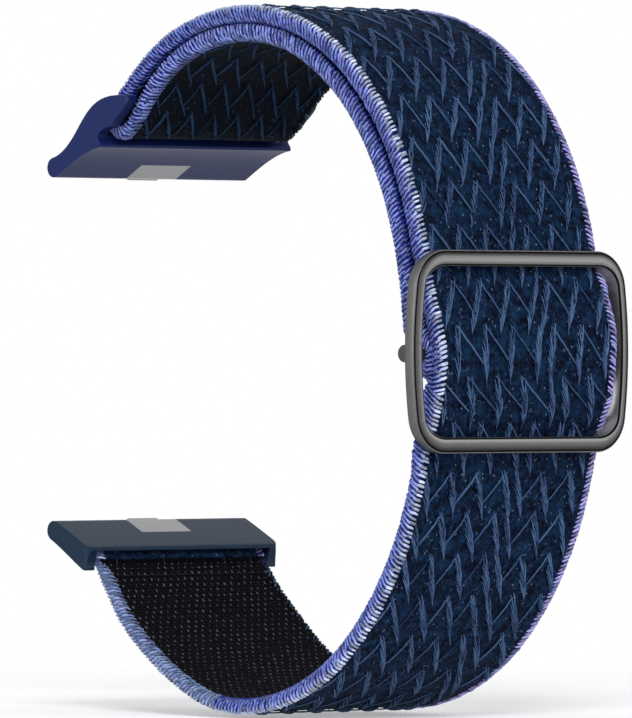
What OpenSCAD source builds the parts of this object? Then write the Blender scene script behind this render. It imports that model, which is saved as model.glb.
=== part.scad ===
// Stretch nylon watch strap: one woven strip through a slider, held by two lug connectors.
// Millimetres. X runs across the strap, Z up, -Y towards the slider, +Y towards the watch case.
// The origin is the centre of the upper connector's tongue, which fills the case's upper slot.
// Shapes of the side view are written as [u, v], where u is -Y and v is Z.

/* [Strip] */
// Width of the woven strip with its edge bindings
strip_w = 24; // [20:0.5:28]
// Thickness of the woven core
core_t = 1.3; // [1:0.05:1.5]
// Width of the overlocked binding along each edge
edge_w = 1; // [0.9:0.1:1.6]
// Thickness of the binding
edge_t = 1.6; // [1.4:0.05:1.7]
// Distance between the mid-lines of the outer and the inner strand
strand_pitch = 1.9; // [1.8:0.05:2.2]
// Thickness of the pressed ply that is sewn round the slider's bar
tail_t = 0.75; // [0.5:0.05:0.8]
// Thickness of the pressed ply that is sewn round the lower pin
hem_t = 0.5; // [0.4:0.05:0.6]

/* [Loop] */
// Distance from the lugs' plane to the strip's mid-line at the slider
loop_reach = 57; // [50:0.5:64]
// How far the slider's centre lies below the upper lug
slider_drop = 19.8; // [18:0.2:22]
// Mid-line radius where the strip passes the slider
zone_r = 47.3; // [44:0.5:52]
// Mid-line radius of the upper shoulder
upper_shoulder_r = 32.6; // [30:0.5:36]
// Mid-line radius of the upper crown
upper_crown_r = 25.3; // [23:0.5:28]
// Mid-line radius of the lower shoulder
lower_shoulder_r = 35.5; // [32:0.5:38]
// Mid-line radius of the lower crown
lower_crown_r = 25.9; // [24:0.5:28]
// Mid-line radius of the heel, where the strip turns up to the lower lug
heel_r = 17; // [14:0.5:20]
// Mid-line radius of the bend by which the inner strand comes round the upper bar
turn_r = 9; // [7:0.5:12]

/* [Lug connectors] */
// Distance between the centres of the two tongues
lug_gap = 38.6; // [36:0.2:42]
// Thickness of the connectors' arms beside the strip
arm_t = 1.25; // [1.1:0.05:1.6]
// How far the upper connector's arms reach towards the loop
upper_reach = 12; // [11.4:0.1:12.8]
// How far they rise above the tongue
upper_rise = 7.5; // [7.2:0.1:8]
// How far the lower connector reaches towards the loop
lower_reach = 5.7; // [5.5:0.1:6.3]
// How far it reaches below its tongue
lower_fall = 4.3; // [4.1:0.1:4.8]
// Radius of the tongues that slide into the case
tongue_r = 1.05; // [1:0.05:1.15]
// Slope of the tongues, down into the case's edge
tongue_tilt = 28; // [24:1:32]
// Radius of the upper bar between the arms
upper_bar_r = 0.55; // [0.45:0.05:0.65]
// Radius of the upper bar's stepped ends in the arms
upper_tenon_r = 0.4; // [0.3:0.05:0.45]
// Radius of the lower pin
lower_pin_r = 0.4; // [0.3:0.05:0.45]
// Radius of the connectors' corners, seen from above
lug_corner_r = 1.2; // [0.8:0.1:1.6]

/* [Latches] */
// Width of the latch's body in its pocket
latch_w = 7; // [6:0.2:9]
// Width of the nose that clicks into the case
nose_w = 4.8; // [4:0.2:5.4]
// Height of the latch
latch_h = 1; // [0.8:0.05:1.05]
// How far the nose stands out of the tongue, and so how far it presses in
latch_travel = 0.5; // [0.3:0.05:0.6]
// Diameter of the latch's springs
spring_d = 0.9; // [0.7:0.05:0.95]
// Diameter of the spring wire
spring_wire = 0.16; // [0.12:0.02:0.2]

/* [Slider] */
// Gap between the strip's edge and the frame's side bar
frame_side_gap = 2; // [0.9:0.05:2.5]
// Width of the frame's side bars, seen from the front
frame_side_bar = 1.2; // [1.15:0.05:1.5]
// Height of the slider's frame
frame_h = 21.2; // [20.8:0.2:24]
// Height of the frame's top and bottom bars
frame_bar = 1.7; // [1.3:0.05:1.8]
// Depth of the frame's bars
frame_d = 1.15; // [0.9:0.05:1.5]
// Chamfer along the frame's edges
frame_chamfer = 0.25; // [0.1:0.05:0.35]
// Radius of the frame's outer corners
frame_corner_r = 4; // [3:0.1:5]
// Radius of the bow in the frame's sides
frame_side_r = 51; // [40:1:80]
// Distance from the strip's mid-line to the back of the frame
frame_stand = 0.35; // [0.3:0.05:0.6]
// Radius of the slider's centre bar
slider_bar_r = 0.55; // [0.45:0.05:0.6]
// How far the centre bar lies inside the strip's mid-line
slider_bar_drop = 0.3; // [0.2:0.05:0.4]
// Mid-line radius on top of the bridge, where the strip passes over the bar
bridge_top_r = 9; // [7:0.5:11]
// Mid-line radius of the bridge's feet
bridge_foot_r = 14; // [11:0.5:17]

/* [Clearances] */
// Gap between a bar and the ply that turns on it
turn_gap = 0.1; // [0.08:0.01:0.12]
// Gap round a pin's end in its hole
pin_gap = 0.02; // [0.01:0.01:0.04]
// Gap between the moving strip and a connector
window_gap = 0.25; // [0.2:0.05:0.3]
// Gap round a latch in its pocket
latch_gap = 0.04; // [0.03:0.01:0.06]
// Wall left outside the blind hole of a bar's end
end_wall = 0.5; // [0.4:0.05:0.6]
// Gap at a bar's end in its blind hole
end_gap = 0.05; // [0.03:0.01:0.08]

/* [Hidden] */
$fn = 72;
// Greatest distance between two stations along a stretch
station_gap = 1.8;

navy = [0.08, 0.15, 0.33];
periwinkle = [0.45, 0.48, 0.85];
royal = [0.14, 0.22, 0.48];
petrol = [0.12, 0.26, 0.42];
gunmetal = [0.4, 0.4, 0.41];
steel = [0.7, 0.71, 0.73];

core_w = strip_w - 2 * edge_w;
// Both connectors have an arm on each side of the strip, and the frame has a bar
arm_inner_x = strip_w / 2 + window_gap;
lug_w = 2 * (arm_inner_x + arm_t);
frame_w = strip_w + 2 * (frame_side_gap + frame_side_bar);

// The connectors' side views are drawn at one size and fitted to their reach and height
function in_upper(p) = [p[0] * upper_reach / 12, p[1] * upper_rise / 7.5];
function in_lower(p) = [p[0] * lower_reach / 5.7, p[1] * lower_fall / 4.3];

// Where the bars lie, in the side view
upper_bar_at = in_upper([8.8, 5.1]);
lower_lug_at = [0, -lug_gap];
lower_pin_at = lower_lug_at + in_lower([3.9, -2.4]);
// The centre of the strip's last full-thickness end, below the lower pin
strip_end_at = lower_lug_at + in_lower([5, -3.35]);

// Angles on the loop at which one radius hands over to the next
zone_a = 20;
shoulder_a = 45;
crown_a = 90;
heel_a = 112;
// The stretch that feeds through the slider ends here, past all that the slider reaches
travel_a = 28;
// The inner strand is sewn to its own tail up to this angle
tail_a = 8;

function polar(a) = [cos(a), sin(a)];
function ang(p, q) = atan2(q[1] - p[1], q[0] - p[0]);
// The centre of an arc of radius r2 that follows on from an arc of radius r1 at angle a
function next_centre(c, r1, r2, a) = c + (r1 - r2) * polar(a);
// The angle at the first corner of a triangle whose sides from it are a and c, and b faces it
function corner_angle(a, b, c) = acos((a * a + c * c - b * b) / (2 * a * c));

// The strip's outer strand, from the slider up to the upper bar: [centre, radius] of each arc
zone_c = [loop_reach - zone_r, -slider_drop];
upper_shoulder_c = next_centre(zone_c, zone_r, upper_shoulder_r, zone_a);
upper_crown_c = next_centre(upper_shoulder_c, upper_shoulder_r, upper_crown_r, shoulder_a);
upper_apex = upper_crown_c + upper_crown_r * polar(crown_a);
// The last arc leaves the apex level and closes on the fold round the upper bar
fold_r = upper_bar_r + turn_gap + edge_t / 2;
to_bar = upper_bar_at - upper_apex;
upper_end_r = (to_bar * to_bar - fold_r * fold_r) / (2 * (-to_bar[1] - fold_r));
upper_end_c = upper_apex - [0, upper_end_r];
fold_a = ang(upper_end_c, upper_bar_at);
// The inner strand runs one pitch inside, then bends in to the far side of the bar
inner_end_r = upper_end_r - strand_pitch;
turn_c_r = inner_end_r - turn_r;
turn_a = fold_a - corner_angle(turn_c_r, turn_r + fold_r, upper_end_r - fold_r);
turn_c = upper_end_c + turn_c_r * polar(turn_a);

// The outer strand from the slider down to the lower pin
lower_shoulder_c = next_centre(zone_c, zone_r, lower_shoulder_r, -zone_a);
lower_crown_c = next_centre(lower_shoulder_c, lower_shoulder_r, lower_crown_r, -shoulder_a);
heel_c = next_centre(lower_crown_c, lower_crown_r, heel_r, -crown_a);
heel_end = heel_c + heel_r * polar(-heel_a);
to_end = strip_end_at - heel_end;
// The last arc leaves the heel in line and passes through the strip's end
lower_end_r = to_end * to_end / (-2 * to_end * polar(-heel_a));
lower_end_c = heel_end - lower_end_r * polar(-heel_a);
lower_end_a = ang(lower_end_c, strip_end_at);

// The bridge lifts the outer strand over the bar and the sewn tail
slider_bar_at = [loop_reach - slider_bar_drop, -slider_drop];
tail_r = slider_bar_r + turn_gap / 2 + tail_t;
bridge_mid_u = slider_bar_at[0] + tail_r + turn_gap / 2 + core_t / 2;
bridge_top_c = [bridge_mid_u - bridge_top_r, -slider_drop];
foot_c_r = zone_r + bridge_foot_r;
bridge_a = corner_angle(foot_c_r, bridge_top_r + bridge_foot_r, bridge_top_c[0] - zone_c[0]);
foot_c = zone_c + foot_c_r * polar(bridge_a);
bridge_top_a = ang(bridge_top_c, foot_c);

// The frame's front outline: straight top and bottom, bowed sides, round corners
side_c_x = frame_w / 2 - frame_side_r;
corner_c_z = frame_h / 2 - frame_corner_r;
corner_c_x = side_c_x + sqrt(pow(frame_side_r - frame_corner_r, 2) - corner_c_z * corner_c_z);
corner_a = ang([side_c_x, 0], [corner_c_x, corner_c_z]);
frame_back_u = loop_reach + frame_stand;
ear_r = frame_back_u - slider_bar_at[0] + 0.25;

// The connectors' windows and the latches' pockets
window_r = fold_r + edge_t / 2 + window_gap;
hem_r = lower_pin_r + turn_gap / 2 + hem_t;
lower_window_r = hem_r + turn_gap;
pocket_back = 2.7;
latch_front = 0.5;
latch_body_l = 0.8;
cover_t_from = latch_h / 2 + 2 * latch_gap;
spring_x = latch_w * 0.33;
spring_turns = 5;

// Turns a side view into the world: its first axis becomes -Y and its second axis Z
module side_view() rotate([90, 0, -90]) children();

// An extrusion of a side view, centred across the strap
module across(w) side_view() linear_extrude(w, center = true) children();

// A stretch is a list of arcs, [centre, radius, from, to], each following on from the last. One
// that bends the other way has a negative radius, so that its angle still is its outer side's.
// Its stations are [u, v, a]: a point of the mid-line and the direction of its outer side.
function arc_steps(r, a0, a1) = ceil(max(abs(a1 - a0) / 9, abs((a1 - a0) * r) / 57.3 / station_gap));
function arc_stations(c, r, a0, a1, skip) = let (n = arc_steps(r, a0, a1))
  [for (i = [skip : n]) let (a = a0 + (a1 - a0) * i / n)
    [c[0] + r * cos(a), c[1] + r * sin(a), a]];
function stations(arcs) = [for (i = [0 : len(arcs) - 1]) let (a = arcs[i])
  each arc_stations(a[0], a[1], a[2], a[3], i == 0 ? 0 : 1)];
function beside(st, d) = [st[0] + d * cos(st[2]), st[1] + d * sin(st[2])];

// The woven core of a stretch
module core_path(arcs, t = core_t) {
  st = stations(arcs);
  across(core_w) polygon(concat([for (q = st) beside(q, t / 2)],
    [for (i = [len(st) - 1 : -1 : 0]) beside(st[i], -t / 2)]));
}

// The binding in section, [off the mid-line, away from the core]: flat inside, rolled off outside
edge_section = [
  [-edge_t / 2, 0], [edge_t / 2, 0], [edge_t / 2, edge_w * 0.45], [edge_t * 0.32, edge_w * 0.85],
  [edge_t * 0.14, edge_w], [-edge_t * 0.14, edge_w], [-edge_t * 0.32, edge_w * 0.85],
  [-edge_t / 2, edge_w * 0.45]];

// Both edge bindings of a stretch
module edge_path(arcs) side_view() for (s = [0, 1]) mirror([0, 0, s])
  sweep([for (q = stations(arcs)) [for (e = edge_section) let (b = beside(q, e[0]))
    [b[0], b[1], core_w / 2 + e[1]]]]);

// A solid through a list of rings of points, closed at both ends or round on itself
module sweep(rings, loop = false) {
  m = len(rings[0]);
  n = len(rings);
  last = loop ? n - 1 : n - 2;
  walls = [for (i = [0 : last], k = [0 : m - 1]) let (
      p = i * m + k, q = i * m + (k + 1) % m, p2 = (p + m) % (n * m), q2 = (q + m) % (n * m))
    each [[p, p2, q2], [p, q2, q]]];
  caps = loop ? [] : [[for (k = [0 : m - 1]) k], [for (k = [m - 1 : -1 : 0]) (n - 1) * m + k]];
  polyhedron([for (r = rings) each r], concat(walls, caps));
}

// The stretches of the strip
lower_run_arcs = [
  [lower_end_c, lower_end_r, lower_end_a, -heel_a],
  [heel_c, heel_r, -heel_a, -crown_a],
  [lower_crown_c, lower_crown_r, -crown_a, -shoulder_a],
  [lower_shoulder_c, lower_shoulder_r, -shoulder_a, -travel_a]];
lower_travel_arcs = [
  [lower_shoulder_c, lower_shoulder_r, -travel_a, -zone_a],
  [zone_c, zone_r, -zone_a, -bridge_a]];
// The bridge is a crest between two feet that bend the other way
bridge_arcs = [
  [mirrored(foot_c), -bridge_foot_r, -bridge_a, -bridge_top_a],
  [bridge_top_c, bridge_top_r, -bridge_top_a, bridge_top_a],
  [foot_c, -bridge_foot_r, bridge_top_a, bridge_a]];
function mirrored(c) = [c[0], 2 * zone_c[1] - c[1]];
upper_travel_arcs = [
  [zone_c, zone_r, bridge_a, zone_a],
  [upper_shoulder_c, upper_shoulder_r, zone_a, travel_a]];
outer_run_arcs = [
  [upper_shoulder_c, upper_shoulder_r, travel_a, shoulder_a],
  [upper_crown_c, upper_crown_r, shoulder_a, crown_a],
  [upper_end_c, upper_end_r, crown_a, fold_a]];
// The fold goes round the bar, then bends the other way to come in under the outer strand
turn_end_a = ang(turn_c, upper_bar_at);
upper_fold_arcs = [
  [upper_bar_at, fold_r, fold_a, turn_end_a + 180],
  [turn_c, -turn_r, turn_end_a + 180, turn_a + 180]];
inner_run_arcs = [
  [upper_shoulder_c, upper_shoulder_r - strand_pitch, travel_a, shoulder_a],
  [upper_crown_c, upper_crown_r - strand_pitch, shoulder_a, crown_a],
  [upper_end_c, inner_end_r, crown_a, turn_a]];
inner_travel_arcs = [
  [zone_c, zone_r - strand_pitch, tail_a, zone_a],
  [upper_shoulder_c, upper_shoulder_r - strand_pitch, zone_a, travel_a]];

// The lower run ends in a pressed ply that is sewn round the lower pin
module lower_run() color(navy) difference() {
  union() {
    core_path(lower_run_arcs);
    across(core_w) translate(lower_pin_at) circle(hem_r);
    across(core_w) hem_neck();
  }
  across(strip_w) translate(lower_pin_at) circle(hem_r - hem_t);
}

// The pressed ply between the pin and the end of the full-thickness strip
module hem_neck() {
  a = ang(lower_pin_at, strip_end_at);
  d = norm(strip_end_at - lower_pin_at);
  translate(lower_pin_at) rotate(a) polygon([
    [0, -hem_r], [hem_r * 0.6, -hem_r * 0.8], [d, -core_t / 2 + hem_t / 4],
    [d, core_t / 2 - hem_t / 4], [hem_r * 0.6, hem_r * 0.8], [0, hem_r]]);
}

module lower_run_edges() color(periwinkle) edge_path(lower_run_arcs);
module lower_travel() color(navy) core_path(lower_travel_arcs);
module lower_travel_edges() color(periwinkle) edge_path(lower_travel_arcs);
module bridge() color(navy) core_path(bridge_arcs);
module bridge_edges() color(periwinkle) edge_path(bridge_arcs);
module upper_travel() color(navy) core_path(upper_travel_arcs);
module upper_travel_edges() color(periwinkle) edge_path(upper_travel_arcs);
module outer_run() color(navy) core_path(outer_run_arcs);
module outer_run_edges() color(periwinkle) edge_path(outer_run_arcs);
module upper_fold() color(navy) core_path(upper_fold_arcs);
module upper_fold_edges() color(periwinkle) edge_path(upper_fold_arcs);
module inner_run() color(navy) core_path(inner_run_arcs);
module inner_run_edges() color(periwinkle) edge_path(inner_run_arcs);
module inner_travel() color(navy) core_path(inner_travel_arcs);
module inner_travel_edges() color(periwinkle) edge_path(inner_travel_arcs);

// The inner strand's end: it passes inside the slider's bar, turns round it and is sewn down
tail_arc = [zone_c, zone_r - strand_pitch, -tail_foot_a(), tail_a];
function tail_foot_a() = asin(tail_r / (zone_r - strand_pitch));

module tail() color(navy) difference() {
  union() {
    core_path([tail_arc]);
    across(core_w) translate(slider_bar_at) circle(tail_r);
    tail_return();
  }
  across(strip_w) translate(slider_bar_at) circle(tail_r - tail_t);
}

// The pressed ply that comes back up over the bar, down to the strand it is sewn to
module tail_return() {
  foot = zone_c + (zone_r - strand_pitch + core_t / 2) * polar(tail_a);
  a = ang(slider_bar_at, foot);
  d = norm(foot - slider_bar_at);
  across(core_w) translate(slider_bar_at) rotate(a) polygon([
    [0, -tail_r], [tail_r * 0.35, -tail_r * 0.93], [d, -tail_t / 2],
    [d, 0], [tail_r, tail_r - tail_t], [0, 0]]);
}

module tail_edges() color(periwinkle) edge_path([tail_arc]);

// Points along a cubic curve
function curve(p0, p1, p2, p3, n = 10) = [for (i = [0 : n]) let (t = i / n, s = 1 - t)
  s * s * s * p0 + 3 * s * s * t * p1 + 3 * s * t * t * p2 + t * t * t * p3];

// The tongue's round end, from its top over the tip to its underside
function tongue_end(a0, a1, n = 10) = [for (i = [0 : n]) tongue_r * polar(a0 + (a1 - a0) * i / n)];

// The side of the upper connector, with its tongue at the origin: up the back, over the arms' tops,
// down their fronts to the boss round the bar, and back under the fold to the lip
module upper_outline() polygon(concat(
  tongue_end(290, 108),
  curve(tongue_r * polar(108), in_upper([1.5, 1.35]), in_upper([2.9, 2.8]), in_upper([4.1, 4.3])),
  upper_curve([4.1, 4.3], [5.4, 5.85], [6.8, 7.5], [10.2, 7.5]),
  upper_curve([10.2, 7.5], [11.3, 7.5], [12.3, 7.5], [12, 6.9], 5),
  upper_curve([12, 6.9], [11.2, 5.7], [9.9, 5.2], [9.5, 4.5], 8),
  upper_curve([9.5, 4.5], [9.1, 4], [8.1, 4.3], [7.2, 3.4], 8),
  upper_curve([7.2, 3.4], [6.9, 2.9], [7.9, 2.5], [7.6, 2.05], 5),
  curve(in_upper([7.6, 2.05]), in_upper([5.4, 1.8]), in_upper([3.2, 0.65]), tongue_r * polar(290))));
function upper_curve(a, b, c, d, n = 10) = curve(in_upper(a), in_upper(b), in_upper(c), in_upper(d), n);

// The side of the lower connector, with its tongue at the origin
module lower_outline() polygon(concat(
  tongue_end(238, 62),
  curve(tongue_r * polar(62), in_lower([1.9, 0.25]), in_lower([3.6, -0.6]), in_lower([5.4, -1.55])),
  lower_curve([5.4, -1.55], [5.8, -1.75], [5.75, -1.9], [5.6, -2.3], 4),
  lower_curve([5.6, -2.3], [5.4, -2.8], [5.2, -3.4], [5.25, -3.9], 5),
  lower_curve([5.25, -3.9], [5.3, -4.3], [4.9, -4.2], [4.5, -3.95], 5),
  curve(in_lower([4.5, -3.95]), in_lower([3.2, -3.2]), in_lower([1.2, -1.8]), tongue_r * polar(238))));
function lower_curve(a, b, c, d, n) = curve(in_lower(a), in_lower(b), in_lower(c), in_lower(d), n);

// The room that the fold needs in the upper connector, open towards the loop
module upper_window() {
  translate(upper_bar_at) circle(window_r);
  translate(upper_bar_at) rotate(fold_a - 90) translate([0, -window_r]) square([upper_reach, 2 * window_r]);
  translate(upper_bar_at) translate([0, -window_r]) square([upper_reach, 2 * window_r]);
}

// The room that the strip's end needs in the lower connector, open towards the loop
module lower_window() {
  lip_a = ang(tongue_r * polar(67.6), in_lower([5.4, -1.55]));
  translate(lower_pin_at - lower_lug_at) {
    circle(lower_window_r);
    rotate(lip_a) translate([0, -3]) square([4, 3 + lower_window_r]);
    translate([-lower_window_r, -4]) square([4, 4]);
  }
}

// A connector's plan, with round corners that start a little beyond its reach
module lug_plan(side_reach) let (reach = side_reach * 1.05) translate([0, 0, -50]) linear_extrude(100)
  difference() {
    translate([-lug_w / 2, -reach]) square([lug_w, reach + 3]);
    for (s = [-1, 1]) translate([s * lug_w / 2, -reach]) difference() {
      square(2 * lug_corner_r, center = true);
      translate([-s * lug_corner_r, lug_corner_r]) circle(lug_corner_r);
    }
  }

// The latch's pocket, seen from the tongue's centre and along its slope
module in_tongue(tilt) side_view() rotate(tilt) children();

module pocket(tilt) in_tongue(tilt) {
  translate([-latch_front - latch_gap, -2, -latch_w / 2 - latch_gap])
    cube([pocket_back + latch_front, 2 + latch_h / 2 + latch_gap, latch_w + 2 * latch_gap]);
  translate([-tongue_r - 1, -latch_h / 2 - latch_gap, -nose_w / 2 - latch_gap])
    cube([tongue_r + 1, latch_h + 2 * latch_gap, nose_w + 2 * latch_gap]);
}

// The plate that closes the pocket, flush with the connector's face
module cover_block(tilt) in_tongue(tilt)
  translate([-latch_front, -2, -latch_w / 2])
    cube([pocket_back + latch_front - 2 * latch_gap, 2 - cover_t_from, latch_w]);

// The sprung tab: a wide body that stays in the pocket, and a nose that stands out
module latch(tilt) in_tongue(tilt) {
  translate([-latch_front, -latch_h / 2, -latch_w / 2]) cube([latch_body_l, latch_h, latch_w]);
  translate([-tongue_r - latch_travel, 0, 0]) rotate([0, 90, 0]) linear_extrude(tongue_r + latch_travel)
    intersection() {
      square([nose_w, latch_h], center = true);
      union() {
        square([nose_w - latch_h, latch_h], center = true);
        for (s = [-1, 1]) translate([s * (nose_w - latch_h) / 2, 0]) circle(d = latch_h);
      }
    }
}

// Two coil springs between the latch and the back of its pocket
module latch_springs(tilt) in_tongue(tilt) for (s = [-1, 1])
  translate([latch_body_l - latch_front, 0, s * spring_x]) rotate([0, 90, 0])
    coil(spring_d / 2 - spring_wire / 2, spring_wire / 2,
      pocket_back - latch_gap - (latch_body_l - latch_front) - 0.04, spring_turns);

// A helical spring of six-sided wire, standing on z = 0
coil_steps = 12;
module coil(r, wire_r, length, turns) sweep([for (i = [0 : turns * coil_steps])
  let (a = 360 * i / coil_steps, z = wire_r + (length - 2 * wire_r) * i / (turns * coil_steps))
    [for (b = [0 : 60 : 300]) [(r + wire_r * cos(b)) * cos(a), (r + wire_r * cos(b)) * sin(a),
      z + wire_r * sin(b)]]]);

module upper_body() intersection() {
  across(lug_w) upper_outline();
  lug_plan(upper_reach);
}

module lower_body() intersection() {
  across(lug_w) lower_outline();
  lug_plan(lower_reach);
}

module upper_connector() color(royal) difference() {
  upper_body();
  across(2 * arm_inner_x) upper_window();
  pocket(tongue_tilt);
  across(lug_w - 2 * end_wall) translate(upper_bar_at) circle(upper_tenon_r + pin_gap);
}

// The length of a bar or pin whose ends stop in blind holes of a part that is w wide
function bar_l(w) = w - 2 * (end_wall + end_gap);

module upper_bar() color(steel) {
  across(2 * arm_inner_x - 2 * pin_gap) translate(upper_bar_at) circle(upper_bar_r);
  across(bar_l(lug_w)) translate(upper_bar_at) circle(upper_tenon_r);
}

module upper_latch() color(steel) latch(tongue_tilt);
module upper_latch_springs() color(steel) latch_springs(tongue_tilt);
module upper_latch_cover() color(steel) intersection() {
  upper_body();
  cover_block(tongue_tilt);
}

// The lower connector's parts are drawn at its own tongue and moved down
module at_lower_lug() translate([0, 0, -lug_gap]) children();

module lower_connector() color(petrol) at_lower_lug() difference() {
  lower_body();
  across(2 * arm_inner_x) lower_window();
  mirror([0, 0, 1]) pocket(tongue_tilt);
  across(lug_w - 2 * end_wall) translate(lower_pin_at - lower_lug_at)
    circle(lower_pin_r + pin_gap);
}

module lower_pin() color(steel) across(bar_l(lug_w)) translate(lower_pin_at) circle(lower_pin_r);
module lower_latch() color(steel) at_lower_lug() mirror([0, 0, 1]) latch(tongue_tilt);
module lower_latch_springs() color(steel) at_lower_lug() mirror([0, 0, 1]) latch_springs(tongue_tilt);
module lower_latch_cover() color(steel) at_lower_lug() intersection() {
  lower_body();
  mirror([0, 0, 1]) cover_block(tongue_tilt);
}

// The frame's bars are narrower at its sides and widen through the corners
function bar_at(a) = frame_side_bar + (frame_bar - frame_side_bar) * pow(sin(a), 2);

// A bar in section: [inwards from the outline, back from the front face]
function frame_section(bar) = [
  [frame_chamfer, 0], [bar - frame_chamfer, 0], [bar, frame_chamfer],
  [bar, frame_d - frame_chamfer / 2], [bar - frame_chamfer / 2, frame_d],
  [frame_chamfer / 2, frame_d], [0, frame_d - frame_chamfer / 2], [0, frame_chamfer]];

// One quarter of the outline as [x, z, direction], from the middle of a side to the top
frame_quarter = concat(
  [for (i = [0 : 4]) let (a = corner_a * i / 4)
    [side_c_x + frame_side_r * cos(a), frame_side_r * sin(a), a]],
  [for (i = [1 : 8]) let (a = corner_a + (90 - corner_a) * i / 8)
    [corner_c_x + frame_corner_r * cos(a), corner_c_z + frame_corner_r * sin(a), a]]);
frame_half = concat(frame_quarter,
  [for (i = [len(frame_quarter) - 1 : -1 : 0]) let (q = frame_quarter[i]) [-q[0], q[1], 180 - q[2]]]);
frame_outline = concat(frame_half,
  [for (i = [len(frame_half) - 2 : -1 : 1]) let (q = frame_half[i]) [q[0], -q[1], -q[2]]]);

// The whole ring, drawn flat with its front on z = 0 and its back above
module frame_ring() sweep([for (q = frame_outline) [for (f = frame_section(bar_at(q[2])))
  [q[0] - f[0] * cos(q[2]), q[1] - f[0] * sin(q[2]), f[1]]]], loop = true);

module slider_frame() color(gunmetal) difference() {
  union() {
    translate([0, -frame_back_u - frame_d, -slider_drop]) rotate([-90, 0, 0]) frame_ring();
    ears();
  }
  across(frame_w - 2 * end_wall) translate(slider_bar_at) circle(slider_bar_r + pin_gap);
}

// The two ears that carry the centre bar behind the frame's sides
module ears() for (s = [-1, 1]) translate([s * (frame_w - frame_side_bar) / 2, 0, 0])
  across(frame_side_bar - frame_chamfer) {
    translate(slider_bar_at) circle(ear_r);
    translate([slider_bar_at[0], slider_bar_at[1] - ear_r])
      square([frame_back_u + frame_chamfer - slider_bar_at[0], 2 * ear_r]);
  }

module slider_bar() color(gunmetal) across(bar_l(frame_w)) translate(slider_bar_at)
  circle(slider_bar_r);

upper_connector();
upper_bar();
upper_latch();
upper_latch_cover();
upper_latch_springs();
lower_connector();
lower_pin();
lower_latch();
lower_latch_cover();
lower_latch_springs();
slider_frame();
slider_bar();
bridge();
bridge_edges();
tail();
tail_edges();
lower_run();
lower_run_edges();
lower_travel();
lower_travel_edges();
upper_travel();
upper_travel_edges();
outer_run();
outer_run_edges();
upper_fold();
upper_fold_edges();
inner_run();
inner_run_edges();
inner_travel();
inner_travel_edges();
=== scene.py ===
"""Woven loop watch strap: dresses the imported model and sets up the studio."""

import math

import bmesh
import bpy
import numpy as np
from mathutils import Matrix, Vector


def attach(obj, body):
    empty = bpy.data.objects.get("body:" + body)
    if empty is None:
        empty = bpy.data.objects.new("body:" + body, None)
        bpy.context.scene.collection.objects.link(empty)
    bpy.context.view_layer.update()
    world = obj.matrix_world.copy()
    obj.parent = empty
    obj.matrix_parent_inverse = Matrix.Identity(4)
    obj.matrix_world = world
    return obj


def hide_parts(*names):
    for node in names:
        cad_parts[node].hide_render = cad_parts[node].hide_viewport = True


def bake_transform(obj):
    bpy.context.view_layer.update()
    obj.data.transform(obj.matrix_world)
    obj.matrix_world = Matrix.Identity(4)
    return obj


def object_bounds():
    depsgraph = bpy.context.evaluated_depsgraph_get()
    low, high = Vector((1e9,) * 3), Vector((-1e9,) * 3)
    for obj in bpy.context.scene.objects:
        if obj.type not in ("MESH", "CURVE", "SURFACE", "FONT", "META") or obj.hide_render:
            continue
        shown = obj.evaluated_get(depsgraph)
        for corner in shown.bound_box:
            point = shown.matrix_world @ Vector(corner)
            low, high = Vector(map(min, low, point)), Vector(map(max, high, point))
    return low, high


MM = 0.001

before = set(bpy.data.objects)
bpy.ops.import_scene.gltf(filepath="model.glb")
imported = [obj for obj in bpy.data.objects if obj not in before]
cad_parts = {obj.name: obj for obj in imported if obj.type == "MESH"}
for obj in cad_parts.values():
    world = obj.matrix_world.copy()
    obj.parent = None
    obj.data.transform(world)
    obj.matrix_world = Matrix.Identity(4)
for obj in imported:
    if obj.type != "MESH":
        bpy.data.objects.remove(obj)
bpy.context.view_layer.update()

# -------------------------------- the strip's side view, in mm
# Points are [u, v] with u = -Y and v = Z. These sizes are those of the model's source.
STRIP_W, CORE_T, EDGE_W, EDGE_T = 24.0, 1.3, 1.0, 1.6
TAIL_T, HEM_T = 0.75, 0.5  # the pressed plies round the slider's bar and the lower pin
REACH, DROP, ZONE_R = 57.0, 19.8, 47.3  # the loop's face at the slider, and its radius there
UP_SHOULDER_R, UP_CROWN_R, LOW_SHOULDER_R, LOW_CROWN_R, HEEL_R = 32.6, 25.3, 35.5, 25.9, 17.0
LUG_GAP = 38.6
BAR_R, BAR_DROP, TURN_GAP = 0.55, 0.3, 0.1
BRIDGE_TOP_R, BRIDGE_FOOT_R = 9.0, 14.0
UPPER_BAR = np.array([8.8, 5.1])
LOWER_PIN = np.array([3.9, -LUG_GAP - 2.4])
STRIP_END = np.array([5.0, -LUG_GAP - 3.35])
LOWER_PIN_R = 0.4
# Angles on the loop at which one radius hands over to the next
ZONE_A, SHOULDER_A, CROWN_A, HEEL_A = 20.0, 45.0, 90.0, 112.0
TAIL_A = 8.0  # where the sewn tail ends
SEAM_A = 11.7  # the strands change pieces under the frame's top and bottom bars
CORE_HALF = STRIP_W / 2 - EDGE_W
# The overlock thread stands out of the strip's own width, except between the connectors' arms:
# share of the width, and where it begins and is complete, above and below
SWELL, SWELL_HIGH, SWELL_LOW = 0.045, (9.0, 18.0), (6.2, 10.5)
# How far the cloth on the slider bulges out of its smooth arc: [height over the bar, near edge, far edge]
BULGE = ((-10, 0, 0), (-8.7, 0.3, 0.1), (-7.4, 0.65, 0.55), (-5.8, 0.6, 0.85), (-4.8, 0.45, 0.85),
         (-3.4, 0.1, 0.4), (-0.5, -0.15, 0.12), (2.4, -0.55, 0.45), (5.5, -0.15, 0.75), (7.4, -0.05, 1.0),
         (8.7, 0, 0.3), (10, 0, 0))
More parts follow.
